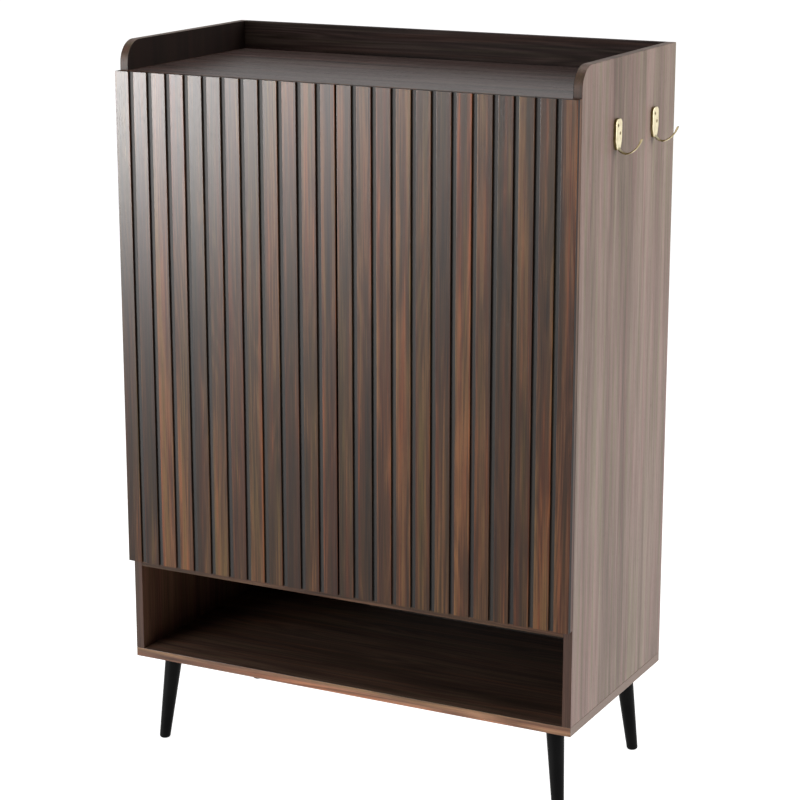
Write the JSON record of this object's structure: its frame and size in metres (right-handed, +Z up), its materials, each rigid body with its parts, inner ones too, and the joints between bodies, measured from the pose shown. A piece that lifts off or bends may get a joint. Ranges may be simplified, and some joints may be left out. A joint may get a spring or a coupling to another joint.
{
  "type": "shoe cabinet",
  "caption": "Walnut-look shoe cabinet with fluted push-open doors, an open lower compartment, a raised tray top, splayed black legs and brass side hooks.",
  "frame": {"origin": "on the floor, at the middle of the box round the whole cabinet, hooks included", "axes": "+X to the right, +Y to the back, +Z up; the doors face -Y"},
  "size_m": [0.8419, 0.3962, 1.195],
  "materials": {
    "walnut_side": "satin walnut-look melamine, grain upright",
    "walnut_door": "satin walnut-look foil over fluted board, each slat a little different",
    "walnut_tray": "satin walnut-look melamine, grain along the width",
    "walnut_shelf": "satin walnut-look melamine, grain along the width",
    "back_board": "thin printed fibreboard",
    "black_lacquer": "turned wood, black satin lacquer",
    "antique_brass": "antique brass plating, brushed",
    "beech": "fluted beech",
    "clear_rubber": "soft clear dot",
    "grey_plastic": "moulded grey plastic",
    "bright_steel": "plain bright steel",
    "nickel_plate": "nickel-plated pressed steel",
    "black_plate": "black powder coat on pressed steel",
    "zinc_plate": "zinc-plated steel"
  },
  "bodies": {
    "carcass": {"adjustable_shelf_1": "walnut_shelf", "adjustable_shelf_2": "walnut_shelf", "adjustable_shelf_3": "walnut_shelf", "adjustable_shelf_4": "walnut_shelf", "back_panel": "back_board", "back_rail": "walnut_tray", "back_rail_screws": "zinc_plate", "base_panel": "walnut_shelf", "base_panel_screws": "zinc_plate", "cam_bolts": "zinc_plate", "cam_locks": "zinc_plate", "dowels": "beech", "front_hook": "antique_brass", "front_left_leg": "black_lacquer", "front_right_leg": "black_lacquer", "hook_screws": "antique_brass", "latch_screws": "zinc_plate", "left_arm_pins": "bright_steel", "left_arm_screws": "zinc_plate", "left_hinge_arms": "nickel_plate", "left_hinge_plates": "nickel_plate", "left_latch_housing": "grey_plastic", "left_latch_spring": "bright_steel", "left_plate_screws": "zinc_plate", "left_side_panel": "walnut_side", "leg_hanger_bolts": "zinc_plate", "leg_plate_screws": "zinc_plate", "leg_plates": "black_plate", "middle_shelf": "walnut_shelf", "rear_hook": "antique_brass", "rear_left_leg": "black_lacquer", "rear_right_leg": "black_lacquer", "right_arm_pins": "bright_steel", "right_arm_screws": "zinc_plate", "right_hinge_arms": "nickel_plate", "right_hinge_plates": "nickel_plate", "right_latch_housing": "grey_plastic", "right_latch_spring": "bright_steel", "right_plate_screws": "zinc_plate", "right_side_panel": "walnut_side", "shelf_pins": "zinc_plate", "top_panel": "walnut_tray"},
    "left_links": {"left_hinge_links": "nickel_plate"},
    "left_door": {"left_cup_pins": "bright_steel", "left_cup_screws": "zinc_plate", "left_door_bumper": "clear_rubber", "left_door_panel": "walnut_door", "left_hinge_cups": "nickel_plate", "left_latch_strike": "bright_steel"},
    "left_plunger": {"left_latch_plunger": "grey_plastic"},
    "right_links": {"right_hinge_links": "nickel_plate"},
    "right_door": {"right_cup_pins": "bright_steel", "right_cup_screws": "zinc_plate", "right_door_bumper": "clear_rubber", "right_door_panel": "walnut_door", "right_hinge_cups": "nickel_plate", "right_latch_strike": "bright_steel"},
    "right_plunger": {"right_latch_plunger": "grey_plastic"}
  },
  "joints": [
    {"name": "left_link_turn", "type": "hinge", "parent": "carcass", "child": "left_links", "pos_m": [-0.39793, -0.19092, 0.732], "axis": [0, 0, 1], "range_deg": [0, 40]},
    {"name": "left_door_swing", "type": "hinge", "parent": "left_links", "child": "left_door", "pos_m": [-0.41187, -0.1897, 0.732], "axis": [0, 0, -1], "range_deg": [0, 134.9]},
    {"name": "left_plunger_slide", "type": "slide", "parent": "carcass", "child": "left_plunger", "axis": [0, -1, 0], "range_m": [0, 0.012], "deforming": ["left_latch_spring"]},
    {"name": "right_link_turn", "type": "hinge", "parent": "carcass", "child": "right_links", "pos_m": [0.35618, -0.19092, 0.732], "axis": [0, 0, -1], "range_deg": [0, 40]},
    {"name": "right_door_swing", "type": "hinge", "parent": "right_links", "child": "right_door", "pos_m": [0.37012, -0.1897, 0.732], "axis": [0, 0, 1], "range_deg": [0, 134.9]},
    {"name": "right_plunger_slide", "type": "slide", "parent": "carcass", "child": "right_plunger", "axis": [0, -1, 0], "range_m": [0, 0.012], "deforming": ["right_latch_spring"]}
  ],
  "couplings": [
    {"joint": "left_link_turn", "follows": "left_door_swing", "ratio": 0.29578},
    {"joint": "left_plunger_slide", "follows": "left_door_swing", "m_per_rad": 0.005},
    {"joint": "right_link_turn", "follows": "right_door_swing", "ratio": 0.29578},
    {"joint": "right_plunger_slide", "follows": "right_door_swing", "m_per_rad": 0.005}
  ]
}
